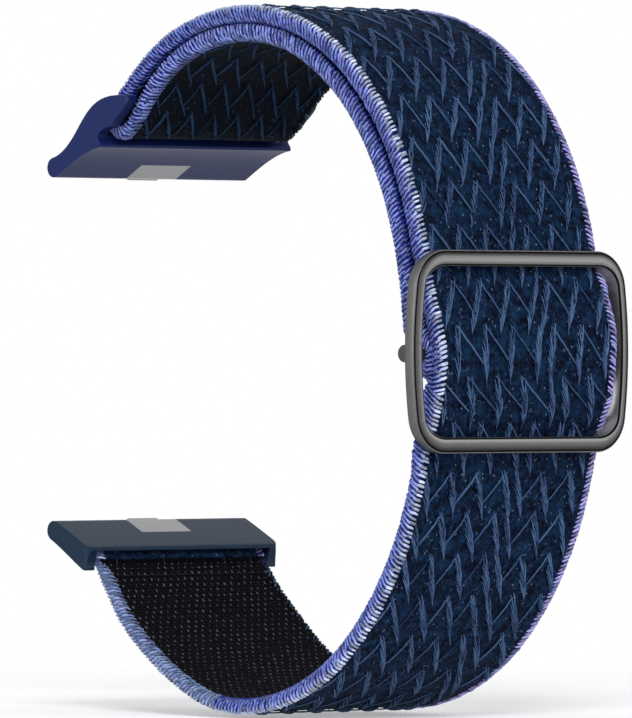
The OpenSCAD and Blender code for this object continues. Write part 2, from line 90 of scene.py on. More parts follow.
# The inner strand hangs a little looser than its solid: [angle on the loop, distance between mid-lines]
HANG = ((4.5, 2.75), (30, 2.75), (55, 2.55), (75, 2.2), (90, 2.1), (105, 2.15), (115, 2.4), (122, 2.65))
STEP, FINE = 0.12, 0.06  # spacing of the mid-line's points, and where it bends hard


def pol(a):
    """The unit vector at an angle in degrees."""
    return np.array([math.cos(math.radians(a)), math.sin(math.radians(a))])


def ang(p, q):
    """The direction from p to q, in degrees."""
    return math.degrees(math.atan2(q[1] - p[1], q[0] - p[0]))


def corner(a, b, c):
    """The angle at the first corner of a triangle: its sides from there are a and c, and b faces it."""
    return math.degrees(math.acos((a * a + c * c - b * b) / (2 * a * c)))


zone_c = np.array([REACH - ZONE_R, -DROP])
up_shoulder_c = zone_c + (ZONE_R - UP_SHOULDER_R) * pol(ZONE_A)
up_crown_c = up_shoulder_c + (UP_SHOULDER_R - UP_CROWN_R) * pol(SHOULDER_A)
apex = up_crown_c + UP_CROWN_R * pol(CROWN_A)
fold_r = BAR_R + TURN_GAP + EDGE_T / 2
to_bar = UPPER_BAR - apex
up_end_r = (to_bar @ to_bar - fold_r**2) / (2 * (-to_bar[1] - fold_r))
up_end_c = apex - np.array([0, up_end_r])
fold_a = ang(up_end_c, UPPER_BAR)
low_shoulder_c = zone_c + (ZONE_R - LOW_SHOULDER_R) * pol(-ZONE_A)
low_crown_c = low_shoulder_c + (LOW_SHOULDER_R - LOW_CROWN_R) * pol(-SHOULDER_A)
heel_c = low_crown_c + (LOW_CROWN_R - HEEL_R) * pol(-CROWN_A)
heel_end = heel_c + HEEL_R * pol(-HEEL_A)
to_end = STRIP_END - heel_end
low_end_r = (to_end @ to_end) / (-2 * to_end @ pol(-HEEL_A))
low_end_c = heel_end - low_end_r * pol(-HEEL_A)
low_end_a = ang(low_end_c, STRIP_END)
BAR = np.array([REACH - BAR_DROP, -DROP])
tail_r = BAR_R + TURN_GAP / 2 + TAIL_T
bridge_u = BAR[0] + tail_r + TURN_GAP / 2 + CORE_T / 2
bridge_c = np.array([bridge_u - BRIDGE_TOP_R, -DROP])
foot_c_r = ZONE_R + BRIDGE_FOOT_R
bridge_a = corner(foot_c_r, BRIDGE_TOP_R + BRIDGE_FOOT_R, bridge_c[0] - zone_c[0])
foot_c = zone_c + foot_c_r * pol(bridge_a)
foot_c2 = np.array([foot_c[0], 2 * zone_c[1] - foot_c[1]])
bridge_top_a = ang(bridge_c, foot_c)


def arc(c, r, a0, a1, step=STEP):
    """Points of an arc, first one left out; a negative radius lies on the other side."""
    n = max(2, int(math.ceil(abs(math.radians(a1 - a0) * r) / step)))
    a = np.radians(np.linspace(a0, a1, n + 1)[1:])
    return np.stack([c[0] + r * np.cos(a), c[1] + r * np.sin(a)], 1)


def spline(points, step=STEP):
    """A smooth curve through points, first one left out."""
    p = np.array(points, float)
    ext = np.vstack([2 * p[0] - p[1], p, 2 * p[-1] - p[-2]])
    out = []
    for i in range(len(p) - 1):
        a, b, c, d = ext[i : i + 4]
        n = max(2, int(np.linalg.norm(c - b) / step))
        t = np.linspace(0, 1, n + 1)[1:, None]
        out.append(0.5 * (2 * b + (c - a) * t + (2 * a - 5 * b + 4 * c - d) * t**2
                          + (3 * b - a - 3 * c + d) * t**3))
    return np.vstack(out)


def hang(c, r, a0, a1):
    """The inner strand's points beside an arc of the outer one."""
    a = np.linspace(a0, a1, max(2, int(abs(math.radians(a1 - a0) * r) / STEP)) + 1)[1:]
    inner = r - np.interp(a, [h[0] for h in HANG], [h[1] for h in HANG])
    return np.stack([c[0] + inner * np.cos(np.radians(a)), c[1] + inner * np.sin(np.radians(a))], 1)


class Path:
    """The strip's mid-line by arc length, with the direction of its woven face."""

    def __init__(self, points):
        self.p = points
        d = np.linalg.norm(np.diff(points, axis=0), axis=1)
        self.s = np.concatenate([[0], np.cumsum(d)])
        t = np.gradient(points, self.s, axis=0)
        for _ in range(2):
            t[1:-1] = (t[:-2] + 2 * t[1:-1] + t[2:]) / 4
        t /= np.linalg.norm(t, axis=1)[:, None]
        self.t = t
        self.face = np.stack([t[:, 1], -t[:, 0]], 1)
        self.length = self.s[-1]

    def world(self, s, x, n):
        """Local (along, across, off the mid-line towards the woven face) to the row frame, in metres."""
        s, x, n = np.broadcast_arrays(s, x, n)
        mid_u = np.interp(s, self.s, self.p[:, 0])
        u = mid_u + n * np.interp(s, self.s, self.face[:, 0])
        v = np.interp(s, self.s, self.p[:, 1]) + n * np.interp(s, self.s, self.face[:, 1])
        start, end = (np.where(v < -DROP, SWELL_LOW[i], SWELL_HIGH[i]) for i in (0, 1))
        w = np.clip((mid_u - start) / (end - start), 0, 1)
        across = x * (1 + SWELL * w * w * (3 - 2 * w))
        near, far = (np.interp(v + DROP, self.bulge[0], edge) for edge in self.bulge[1:])
        on_bridge = (s > self.span[0]) & (s < self.span[1])
        share = np.clip(x / STRIP_W + 0.5, 0, 1)
        u = u + on_bridge * ((1 - share) * near + share * far)
        return np.stack([across, -u, v], -1) * MM

    def set_bulge(self, s0, s1):
        """Turns the bulge on between two arc lengths, rounded off between its listed heights."""
        height, near, far = zip(*BULGE)
        h = np.linspace(-11, 11, 221)
        k = np.hanning(19) / np.hanning(19).sum()
        near, far = (np.convolve(np.interp(h, height, edge), k, "same") for edge in (near, far))
        self.bulge, self.span = (h, near, far), (s0, s1)

    def near(self, point, lo=0.0, hi=1e9):
        """The arc length at which the path passes closest to a point."""
        ok = (self.s >= lo) & (self.s <= hi)
        d = np.linalg.norm(self.p - np.array(point), axis=1)
        d[~ok] = 1e9
        return float(self.s[int(np.argmin(d))])


# The hem: from its free end on the wrist side, up, round the pin and down into the full strip
end_n = pol(low_end_a)
end_t = np.array([-end_n[1], end_n[0]])
PLY = 0.26  # half the distance between the two pressed plies
around = LOWER_PIN_R + TURN_GAP / 2 + HEM_T / 2
neck_d = STRIP_END - LOWER_PIN
neck_a = ang(LOWER_PIN, STRIP_END)
NECK_HALF = 70  # the plies leave the pin at this angle on either side of the neck
hem_start = STRIP_END - end_n * PLY + neck_d * 0.12
pin_in, pin_out = neck_a + NECK_HALF, neck_a + 360 - NECK_HALF
FOLD_END_A = 315  # the fold leaves the upper bar here
FULL_A, FIRST_A = 2.6, 1.2  # past the hem's end the full strip begins, in degrees of its last arc
strip_points = np.vstack([
    [hem_start],
    spline([hem_start, STRIP_END - end_n * PLY, LOWER_PIN + around * pol(pin_in)], FINE),
    arc(LOWER_PIN, around, pin_in, pin_out, FINE),
    spline([LOWER_PIN + around * pol(pin_out), STRIP_END + end_n * PLY - end_t * 0.1,
            low_end_c + (low_end_r + 0.1) * pol(low_end_a + FIRST_A),
            low_end_c + low_end_r * pol(low_end_a + FULL_A)], FINE),
    arc(low_end_c, low_end_r, low_end_a + FULL_A, -HEEL_A),
    arc(heel_c, HEEL_R, -HEEL_A, -CROWN_A),
    arc(low_crown_c, LOW_CROWN_R, -CROWN_A, -SHOULDER_A),
    arc(low_shoulder_c, LOW_SHOULDER_R, -SHOULDER_A, -ZONE_A),
    arc(zone_c, ZONE_R, -ZONE_A, -bridge_a),
    arc(foot_c2, -BRIDGE_FOOT_R, -bridge_a, -bridge_top_a),
    arc(bridge_c, BRIDGE_TOP_R, -bridge_top_a, bridge_top_a),
    arc(foot_c, -BRIDGE_FOOT_R, bridge_top_a, bridge_a),
    arc(zone_c, ZONE_R, bridge_a, ZONE_A),
    arc(up_shoulder_c, UP_SHOULDER_R, ZONE_A, SHOULDER_A),
    arc(up_crown_c, UP_CROWN_R, SHOULDER_A, CROWN_A),
    arc(up_end_c, up_end_r, CROWN_A, fold_a),
    arc(UPPER_BAR, fold_r, fold_a, FOLD_END_A, FINE),
    spline([UPPER_BAR + fold_r * pol(FOLD_END_A), UPPER_BAR + [1.95, -0.35], UPPER_BAR + [4.75, 2.5],
            up_end_c + (up_end_r - HANG[-1][1]) * pol(HANG[-1][0])]),
    hang(up_end_c, up_end_r, HANG[-1][0], CROWN_A),
    hang(up_crown_c, UP_CROWN_R, CROWN_A, SHOULDER_A),
    hang(up_shoulder_c, UP_SHOULDER_R, SHOULDER_A, ZONE_A),
    hang(zone_c, ZONE_R, ZONE_A, HANG[0][0]),
])
tail_mid = BAR_R + TURN_GAP / 2 + TAIL_T / 2
inner_r = ZONE_R - HANG[0][1]
tail_start = zone_c + inner_r * pol(HANG[0][0])
TAIL_IN_A, TAIL_LOW_A, TAIL_OUT_A = 185, 2, 65  # where the tail meets, regains and leaves the bar


def beside(out, a):
    """A point at an angle on the loop, further out than the inner strand."""
    return zone_c + (inner_r + out) * pol(a)


# The tail comes down inside the bar, hangs a little slack under it and goes back up on the outside
strip_points = np.vstack([
    strip_points,
    spline([tail_start, beside(0.14, 3.0), beside(0.85, 1.4), BAR + tail_mid * pol(TAIL_IN_A),
            BAR + [-0.92, -0.9], BAR + [-0.55, -1.55], BAR + [0, -1.8], BAR + [0.55, -1.5],
            BAR + [0.88, -0.8], BAR + tail_mid * pol(TAIL_LOW_A)], FINE),
    arc(BAR, tail_mid, TAIL_LOW_A, TAIL_OUT_A, FINE),
    spline([BAR + tail_mid * pol(TAIL_OUT_A), beside(2.15, 2.2), beside(1.35, 4.2), beside(1.06, 6.2),
            beside(1.04, TAIL_A + 1)], FINE)])

strip = Path(strip_points)
S_END = strip.near(low_end_c + low_end_r * pol(low_end_a + FIRST_A))
S_TAIL0 = strip.near(tail_start, strip.length - 12)
S_TAIL1 = strip.near(BAR + tail_mid * pol(TAIL_IN_A), S_TAIL0, S_TAIL0 + 5)


def thickness(s):
    """The woven core's thickness, which ends in pressed plies."""
    return np.interp(s, [0, S_END - 0.9, S_END + 1.0, S_TAIL0 - 0.5, S_TAIL1, strip.length],
                     [HEM_T, HEM_T, CORE_T, CORE_T, TAIL_T, TAIL_T * 0.85])


S_LOW = strip.near(zone_c + ZONE_R * pol(-SEAM_A))
S_HIGH = strip.near(zone_c + ZONE_R * pol(SEAM_A))
S_FOLD = strip.near(UPPER_BAR + fold_r * pol(fold_a + 90), S_HIGH)
strip.set_bulge(S_LOW - 5, S_HIGH + 5)
S_TURN = strip.near([BAR[0] + 2, -DROP - 4.2], S_LOW, S_HIGH)  # the overlock leans the other way from here


def stations(s0, s1, step=0.5, turn=7.0):
    """Arc lengths from s0 to s1, closer together where the strip bends hard."""
    s = [s0]
    a = np.unwrap(np.arctan2(strip.t[:, 1], strip.t[:, 0]))
    while s[-1] < s1 - 1e-6:
        here = s[-1]
        nxt = here + step
        bend = abs(np.interp(nxt, strip.s, a) - np.interp(here, strip.s, a))
        if bend > math.radians(turn):
            nxt = here + step * math.radians(turn) / bend
        s.append(min(nxt, s1))
    if s[-1] - s[-2] < 0.02:
        s.pop(-2)
    return np.array(s)


# -------------------------------- mesh helpers
def add_object(name, data):
    """Adds an object that holds the data."""
    obj = bpy.data.objects.new(name, data)
    bpy.context.collection.objects.link(obj)
    return obj


def new_object(name, verts, faces, mats, face_mats=None, uvs=None):
    """A smooth mesh object in the row frame, from points of any array shape. uvs is one pair a point."""
    mesh = bpy.data.meshes.new(name)
    verts = np.asarray(verts, np.float32).reshape(-1, 3)
    faces = np.asarray(faces, np.int32)
    k = faces.shape[1]
    mesh.vertices.add(len(verts))
    mesh.vertices.foreach_set("co", verts.ravel())
    mesh.loops.add(faces.size)
    mesh.loops.foreach_set("vertex_index", faces.ravel())
    mesh.polygons.add(len(faces))
    mesh.polygons.foreach_set("loop_start", np.arange(0, faces.size, k, dtype=np.int32))
    mesh.polygons.foreach_set("loop_total", np.full(len(faces), k, np.int32))
    for m in mats:
        mesh.materials.append(m)
    if face_mats is not None:
        mesh.polygons.foreach_set("material_index", np.asarray(face_mats, np.int32))
    mesh.update(calc_edges=True)
    mesh.polygons.foreach_set("use_smooth", np.full(len(faces), True))
    if uvs is not None:
        layer = mesh.uv_layers.new(name="UVMap")
        layer.data.foreach_set("uv", np.asarray(uvs, np.float32).reshape(-1, 2)[faces.ravel()].ravel())
    mesh.validate()
    return add_object(name, mesh)


def grid_faces(rows, cols, closed):
    """Quads between rows of cols points each."""
    i = np.arange(rows - 1)[:, None]
    j = np.arange(cols if closed else cols - 1)[None, :]
    a = i * cols + j
    b = i * cols + (j + 1) % cols
    return np.stack([a, b, b + cols, a + cols], -1).reshape(-1, 4)


def stack(shape, *parts):
    """Joins arrays or numbers that fit the shape into one array of points or UVs."""
    return np.stack([np.broadcast_to(part, shape) for part in parts], -1)


def tubes(centres, radii, ref, sides):
    """Tubes along many poly-lines. centres (N, P, 3) in local (s, x, n); radii (N, P).
    ref is a direction that the tubes aren't parallel to. Returns local points (N, P, K, 3) and faces."""
    n, p, _ = centres.shape
    t = np.gradient(centres, axis=1)
    t /= np.linalg.norm(t, axis=2)[..., None] + 1e-12
    side = np.cross(t, np.broadcast_to(ref, t.shape))
    side /= np.linalg.norm(side, axis=2)[..., None] + 1e-12
    up = np.cross(side, t)
    a = np.linspace(0, 2 * math.pi, sides, endpoint=False)[:, None]
    ring = side[:, :, None, :] * np.cos(a) + up[:, :, None, :] * np.sin(a)
    first = np.arange(n)[:, None, None] * (p * sides)
    faces = (first + grid_faces(p, sides, True)[None]).reshape(-1, 4)
    return centres[:, :, None, :] + ring * radii[:, :, None, None], faces


def bent(pts):
    """Local points of any shape (..., 3) to the row frame."""
    return strip.world(pts[..., 0], pts[..., 1], pts[..., 2])


def lin(hexa):
    """sRGB hex to linear RGBA."""
    c = [int(hexa[i : i + 2], 16) / 255 for i in (1, 3, 5)]
    return [x / 12.92 if x <= 0.04045 else ((x + 0.055) / 1.055) ** 2.4 for x in c] + [1.0]


# -------------------------------- materials
class Tree:
    """Short calls for building a node tree."""

    def __init__(self, owner):
        owner.use_nodes = True
        self.tree = owner.node_tree
        self.nodes = self.tree.nodes

    def link(self, a, b):
        self.tree.links.new(a, b)

    def put(self, socket, value):
        if isinstance(value, bpy.types.NodeSocket):
            self.link(value, socket)
        else:
            socket.default_value = value

    def add(self, kind, *values, **settings):
        """Adds a node. The values, or what is linked, go to its first inputs in order."""
        node = self.nodes.new(kind)
        for key, v in settings.items():
            setattr(node, key, v)
        for k, v in enumerate(values):
            self.put(node.inputs[k], v)
        return node


class Graph(Tree):
    """A node material round the standard surface shader."""

    def __init__(self, name):
        self.mat = bpy.data.materials.new(name)
        super().__init__(self.mat)
        self.bsdf = self.nodes["Principled BSDF"]

    def math(self, op, *values):
        return self.add("ShaderNodeMath", *values, operation=op).outputs[0]

    def plus(self, a, b):
        return self.math("ADD", a, b)

    def times(self, a, b):
        return self.math("MULTIPLY", a, b)

    def mix(self, fac, a, b, blend="MIX"):
        node = self.add("ShaderNodeMix", data_type="RGBA", blend_type=blend)
        for i, v in ((0, fac), (6, a), (7, b)):
            self.put(node.inputs[i], v)
        return node.outputs[2]

    def ramp(self, fac, stops):
        node = self.add("ShaderNodeValToRGB", fac)
        el = node.color_ramp.elements
        while len(el) < len(stops):
            el.new(0.5)
        for e, (pos, col) in zip(el, stops):
            e.position = pos
            e.color = lin(col) if isinstance(col, str) else (col, col, col, 1)
        return node.outputs[0]

    def uv(self, scale=(1, 1, 1), offset=(0, 0, 0)):
        tex = self.add("ShaderNodeUVMap", uv_map="UVMap")
        node = self.add("ShaderNodeMapping", tex.outputs[0], offset)
        node.inputs["Scale"].default_value = scale
        return node.outputs[0]

    def uv_parts(self):
        node = self.add("ShaderNodeSeparateXYZ", self.uv())
        return node.outputs[0], node.outputs[1]

    def noise(self, vec, scale, detail=3.0, rough=0.55):
        node = self.add("ShaderNodeTexNoise", vec)
        for key, v in (("Scale", scale), ("Detail", detail), ("Roughness", rough)):
            node.inputs[key].default_value = v
        return node.outputs[0]

    def cells(self, vec, scale):
        node = self.add("ShaderNodeTexVoronoi", vec, feature="F1")
        node.inputs["Scale"].default_value = scale
        return node

    def bump(self, height, distance, strength):
        node = self.add("ShaderNodeBump", strength, distance)
        self.link(height, node.inputs["Height"])
        self.link(node.outputs[0], self.bsdf.inputs["Normal"])

    def finish(self, color, rough, metallic=0.0, gloss=0.5):
        self.put(self.bsdf.inputs["Base Color"], color)
        self.put(self.bsdf.inputs["Roughness"], rough)
        self.put(self.bsdf.inputs["Metallic"], metallic)
        self.put(self.bsdf.inputs["Specular IOR Level"], gloss)
        return self.mat


def weave_face(name, dark, mid, light, speck):
    """The woven face: smooth fine threads, mottled in soft patches, with light fibre ends and a few
    violet ones. UV is (x, s) in mm."""
    g = Graph(name)
    fine = g.noise(g.uv((1, 0.55, 1)), 4.2, 3, 0.7)
    patch = g.noise(g.uv((1, 0.8, 1), (7, 2, 0)), 1.15, 4, 0.65)
    wave = g.add("ShaderNodeTexWave", g.uv((1, 0.55, 1)), wave_type="BANDS", bands_direction="DIAGONAL")
    for key, v in (("Scale", 1.9), ("Distortion", 5.0), ("Detail", 2.0), ("Detail Scale", 1.6)):
        wave.inputs[key].default_value = v
    twill = wave.outputs[0]
    tone = g.plus(g.times(patch, 0.5), g.plus(g.times(fine, 0.46), g.times(twill, 0.04)))
    base = g.ramp(tone, [(0.41, dark), (0.50, mid), (0.62, light)])
    hue = g.noise(g.uv((1, 1, 1), (11, 5, 0)), 0.45, 2)
    col = g.mix(g.ramp(hue, [(0.5, 0.0), (0.7, 0.5)]), base, lin(light))
    ends = g.cells(g.uv((1, 0.7, 1)), 2.3)
    near = g.ramp(ends.outputs["Distance"], [(0.08, 1.0), (0.24, 0.0)])
    chosen = g.math("LESS_THAN", g.noise(ends.outputs["Position"], 3.1, 0), 0.40)
    col = g.mix(g.times(g.times(near, chosen), 0.6), col, lin(speck))
    violet = g.cells(g.uv((1, 1, 1), (5, 5, 0)), 1.1)
    near = g.math("LESS_THAN", violet.outputs["Distance"], 0.16)
    chosen = g.math("LESS_THAN", g.noise(violet.outputs["Position"], 2.3, 0), 0.43)
    col = g.mix(g.times(g.times(near, chosen), 0.45), col, lin("#4a4472"))
    g.bump(g.plus(fine, g.times(twill, 0.5)), 0.00009, 0.7)
    return g.finish(col, 0.78, gloss=0.04)


def weave_back(name):
    """The strip's back: near-black knit with a staggered lattice of small grey thread dots."""
    g = Graph(name)
    uv = g.uv()
    bend = g.times(g.noise(uv, 0.7, 2), 0.4)
    x, s = (g.plus(part, bend) for part in g.uv_parts())
    rib, row = (g.math("ABSOLUTE", g.math("SINE", g.times(v, math.pi / pitch)))
                for v, pitch in ((x, 0.55), (s, 0.42)))
    knit = g.times(rib, row)
    slope = g.times(s, 0.62)
    a, b = (g.math("ABSOLUTE", g.math("SINE", g.times(g.math(op, x, slope), math.pi / 0.95)))
            for op in ("ADD", "SUBTRACT"))
    pick = g.plus(g.noise(uv, 1.9, 2), 0.42)
    dots = g.ramp(g.times(g.times(a, b), pick), [(0.78, 0.0), (0.98, 1.0)])
    grain = g.noise(uv, 7.5, 4, 0.6)
    tone = g.plus(g.times(knit, 0.5), g.times(grain, 0.6))
    base = g.ramp(tone, [(0.25, "#030305"), (0.6, "#0a0a0f"), (0.95, "#1a1a22")])
    col = g.mix(g.times(dots, 0.9), base, lin("#5c5c66"))
    g.bump(g.plus(knit, g.times(dots, 0.7)), 0.0001, 0.8)
    return g.finish(col, 0.85, gloss=0.03)


def yarn(name, dark, light):
    """Raised thread: colour varies from fibre to fibre and along each. UV is (a number per fibre, s)."""
    g = Graph(name)
    each = g.noise(g.uv((7.3, 0.05, 1)), 1.7, 0)
    along = g.noise(g.uv((7.3, 2.2, 1)), 1.6, 3)
    tone = g.plus(g.times(each, 0.75), g.times(along, 0.45))
    return g.finish(g.ramp(tone, [(0.42, dark), (0.76, light)]), 0.66, gloss=0.06)


def ground(name, dark, light):
    """The bindings' ground under their threads."""
    g = Graph(name)
    tone = g.noise(g.uv((6, 3.5, 1)), 1.5, 3)
    g.bump(tone, 0.00006, 0.8)
    return g.finish(g.ramp(tone, [(0.3, dark), (0.7, light)]), 0.8, gloss=0.04)


def stitch(name, face, edge, side, back, turn=0.88):
    """Overlock thread. UV x runs from the woven face (0) over the side to the back (1), y is each
    stitch's lightness. The colours round the section are painted light and shade: a painted highlight
    on the face side, painted shade towards the back. turn: where the back's painted shade begins. A share
    of the threads is cooler."""
    g = Graph(name)
    around, each = g.uv_parts()
    strand = g.noise(g.uv((14, 31, 1)), 1.3, 2)
    pos = g.plus(around, g.times(g.math("SUBTRACT", each, 0.5), 0.1))
    # Painted light and shade round the section: a painted highlight on the face side, painted shade on the
    # back
    base = g.ramp(pos, [(0.0, face), (0.22, face), (0.40, edge), (turn - 0.3, side), (turn - 0.1, side),
                        (turn, back)])
    cool = g.math("GREATER_THAN", g.noise(g.uv((1.5, 23, 1)), 1.7, 0), 0.56)
    base = g.mix(g.times(cool, 0.4), base, lin("#5f86b8"))
    vary = g.plus(g.times(each, 0.8), g.times(g.math("SUBTRACT", strand, 0.5), 1.2))
    shade = g.ramp(vary, [(0.0, 0.3), (0.4, 0.68), (0.8, 1.0)])
    return g.finish(g.mix(1.0, base, shade, "MULTIPLY"), 0.55, gloss=0.1)


def metal(name, color, rough, grain_scale, metallic, gloss=0.5, depth=0.00001, vary=0.08, shade_tones=None):
    """Satin metal or anodised skin with fine grain; coordinates are the object's own. tones is a ramp
    of painted light and shade over UV x instead of one colour."""
    g = Graph(name)
    here = g.add("ShaderNodeTexCoord").outputs["Object"]
    grain = g.noise(here, grain_scale, 4, 0.6)
    wide = g.noise(here, 160, 2)
    dark, light = ([min(1, c * k) for c in lin(color)[:3]] + [1] for k in (1 - vary, 1 + vary))
    col = g.mix(g.plus(g.times(grain, 0.6), g.times(wide, 0.4)), dark, light)
    if shade_tones:
        speckle = g.mix(grain, lin("#e0e0e0"), lin("#ffffff"))
        col = g.mix(1.0, g.ramp(g.uv_parts()[0], shade_tones), speckle, "MULTIPLY")
    g.bump(grain, depth, 0.5)
    return g.finish(col, g.plus(rough - 0.05, g.times(grain, 0.12)), metallic, gloss)


M = {
    "face": weave_face("navy_weave", "#01030b", "#081226", "#12304e", "#7a8cae"),
    # Painted shade: the inner strand's woven face is a darker copy of the outer face
    "face_in": weave_face("navy_weave_inner_painted_shade", "#010206", "#04080f", "#0a1528", "#3f5273"),
    "back": weave_back("black_weave"),
    "yarn": yarn("zigzag_yarn", "#101f3e", "#4d688f"),
    # Painted shade: the inner strand's raised yarn is a darker copy of the outer yarn
    "yarn_in": yarn("zigzag_yarn_inner_painted_shade", "#0c1c34", "#2c4a70"),
    "bind": ground("binding_ground", "#141a55", "#252d80"),
    # Painted shade: a near-black copy of the binding ground, under the inner strand's far thread and the
    # tail's thread
    "bind_painted_shade": ground("binding_ground_painted_shade", "#060818", "#14183c"),
    # Painted shade: a darker copy of the binding ground for the far edge
    "bind_far": ground("binding_ground_far_painted_shade", "#0e0f40", "#1c1d62"),
    "bind_pale": ground("binding_ground_pale", "#3f4c80", "#5a6898"),
    # The outer strand's thread: near-white painted highlight on the face side, painted shade on the back
    "stitch": stitch("overlock_thread", "#d6e0fa", "#8f9bdc", "#7480c6", "#2a3290", 0.80),
    # Painted shade: a darker copy of the thread for the far edge, its back painted near-black
    "stitch_far": stitch("overlock_thread_far_painted_shade", "#b4acea", "#8f86d8", "#6c66bc", "#05060e", 0.68),
    # The inner strand's near thread: a copy whose face side is painted darker as shade, without the painted
    # highlight
    "stitch_in": stitch("overlock_thread_inner", "#6a72b0", "#8894d6", "#8a96d8", "#2a3290", 0.82),
    # Painted shade: the inner strand's far thread is a near-black copy all round
    "stitch_in_far": stitch("overlock_thread_inner_far_painted_shade", "#04060e", "#060a18", "#15183c", "#1c2050"),
    "stitch_low": stitch("overlock_thread_pale", "#aebcdc", "#a2b0d2", "#8e9cc0", "#7684ac"),
    # Painted shade: the tail's thread round the slider's bar is a nearly black copy
    "stitch_tail": stitch("overlock_thread_tail_painted_shade", "#10143a", "#141a44", "#1a2150", "#10142e"),
    "sew": yarn("sewing_thread", "#0c1226", "#1c2a48"),
    "sew_dark": yarn("sewing_thread_black", "#060608", "#15151a"),
    "royal": metal("royal_metal", "#0f1f50", 0.42, 2600, 0.2, gloss=0.16),
    "petrol": metal("petrol_metal", "#0b2236", 0.42, 2600, 0.2, gloss=0.16),
    "gun": metal("gunmetal", "#4a4a49", 0.4, 2200, 0.95),
    # The frame's ramp paints shade and light across each bar: black in the groove and inner edge, lighter
    # on the face's inner side and the inner wall
    "frame": metal("gunmetal_frame", "#4a4a4a", 0.42, 2200, 0.95,
                   shade_tones=[(0.0, "#050506"), (0.3, "#2c2c2d"), (0.5, "#4a4a4b"), (0.7, "#6c6c6d"),
                          (1.0, "#b0b0b0")]),
    "ear": metal("gunmetal_cast", "#454541", 0.55, 1500, 0.8, depth=0.00006, vary=0.6),
    "steel": metal("steel", "#8f9193", 0.32, 2600, 1.0),
}
# The ground that lies under each binding's thread
UNDER = {"stitch": "bind", "stitch_far": "bind_far", "stitch_in": "bind", "stitch_in_far": "bind_painted_shade",
         "stitch_low": "bind_pale", "stitch_tail": "bind_painted_shade"}

# -------------------------------- the woven slab
rng = np.random.default_rng(24)
FACE_COLS, BACK_COLS = 64, 34


def slab(name, s0, s1, face_mat):
    """The woven core between two arc lengths, with its face and back as separate materials."""
    ss = stations(s0, s1)[:, None]
    edge = CORE_HALF + 0.25
    x = np.concatenate([np.linspace(-edge, edge, FACE_COLS), np.linspace(edge, -edge, BACK_COLS)])[None, :]
    side = np.concatenate([np.ones(FACE_COLS), -np.ones(BACK_COLS)])[None, :]
    # The cloth draws in a little between the rows of raised yarn and at the middle of each panel
    crown = 0.03 * np.cos(2 * np.pi * ss / 4.6) * np.cos(np.pi * x / 12) ** 2
    n = side * thickness(ss) / 2 + np.where(side > 0, crown, 0)
    rows, cols = n.shape
    faces = grid_faces(rows, cols, True)[:, ::-1]
    mats = np.tile(np.arange(cols) >= FACE_COLS - 1, rows - 1)
    # Ends: a strip of quads between the face's row and the back's
    caps = []
    for r, flip in ((0, False), (rows - 1, True)):
        f = r * cols + np.linspace(0, FACE_COLS - 1, BACK_COLS).round().astype(int)
        b = r * cols + np.arange(cols - 1, FACE_COLS - 1, -1)
        q = np.stack([f[:-1], f[1:], b[1:], b[:-1]], -1)
        caps.append(q[:, ::-1] if flip else q)
    caps = np.vstack(caps)
    return new_object(name, bent(stack(n.shape, ss, x, n)), np.vstack([faces, caps]), [face_mat, M["back"]],
                      np.concatenate([mats, np.ones(len(caps))]), stack(n.shape, x, ss))


# -------------------------------- the raised zigzag yarns
# The zigzag is laid out upright and in level rows as seen from the photo's side: each strand has plane
# coordinates (x, y) in mm, level and down, of its own.
VIEW_A = 42  # the photo's viewing angle round the upright, in degrees towards -X
AZ = math.radians(VIEW_A)


class Plane:
    """Maps the photo's plane to (s, x) of a strand; (0, 0) is the strand's point at arc length origin.
    slope is the steepest turn, in degrees, up to which the layout is the photo's."""

    def __init__(self, s0, s1, origin, slope):
        step = 0.1
        s = np.arange(s0 - 1, s1 + 1, step)
        t = np.stack([np.interp(s, strip.s, strip.t[:, k]) for k in (0, 1)], 1)
        far = np.clip((abs(np.degrees(np.arctan2(t[:, 0], t[:, 1]))) - 60) / 60, 0, 1)
        most, least = math.sin(math.radians(slope)), math.cos(math.radians(slope))
        u = np.cumsum(np.clip(t[:, 0], -most, most) * (1 - 0.7 * far)) * step
        y = -np.cumsum(np.maximum(t[:, 1], least)) * step
        self.s = s[::-1]
        self.u = (u - np.interp(origin, s, u))[::-1]
        self.y = (y - np.interp(origin, s, y))[::-1]

    def local(self, x, y):
        s = np.interp(y, self.y, self.s)
        u = np.interp(y, self.y, self.u)
        return s, (x - math.sin(AZ) * u) / math.cos(AZ)

    def rows(self, s0, s1):
        return np.interp([s1, s0], self.s[::-1], self.y[::-1])


PITCH_X, PAIR_GAP = 2.66, 1.28  # from stroke to stroke, and between the close pair in each row
STROKE_W, FIBRES, FIBRE_R, THREAD_R, HAIR_R = 0.29, 26, 0.062, 0.075, 0.028
# The raised yarn is pulled flat where the strip turns round the upper connector's bar
FLAT_S, FLAT_LIFT = (S_FOLD - 9, S_FOLD - 6, S_FOLD, S_FOLD + 1), (1, 0.3, 0.3, 1)


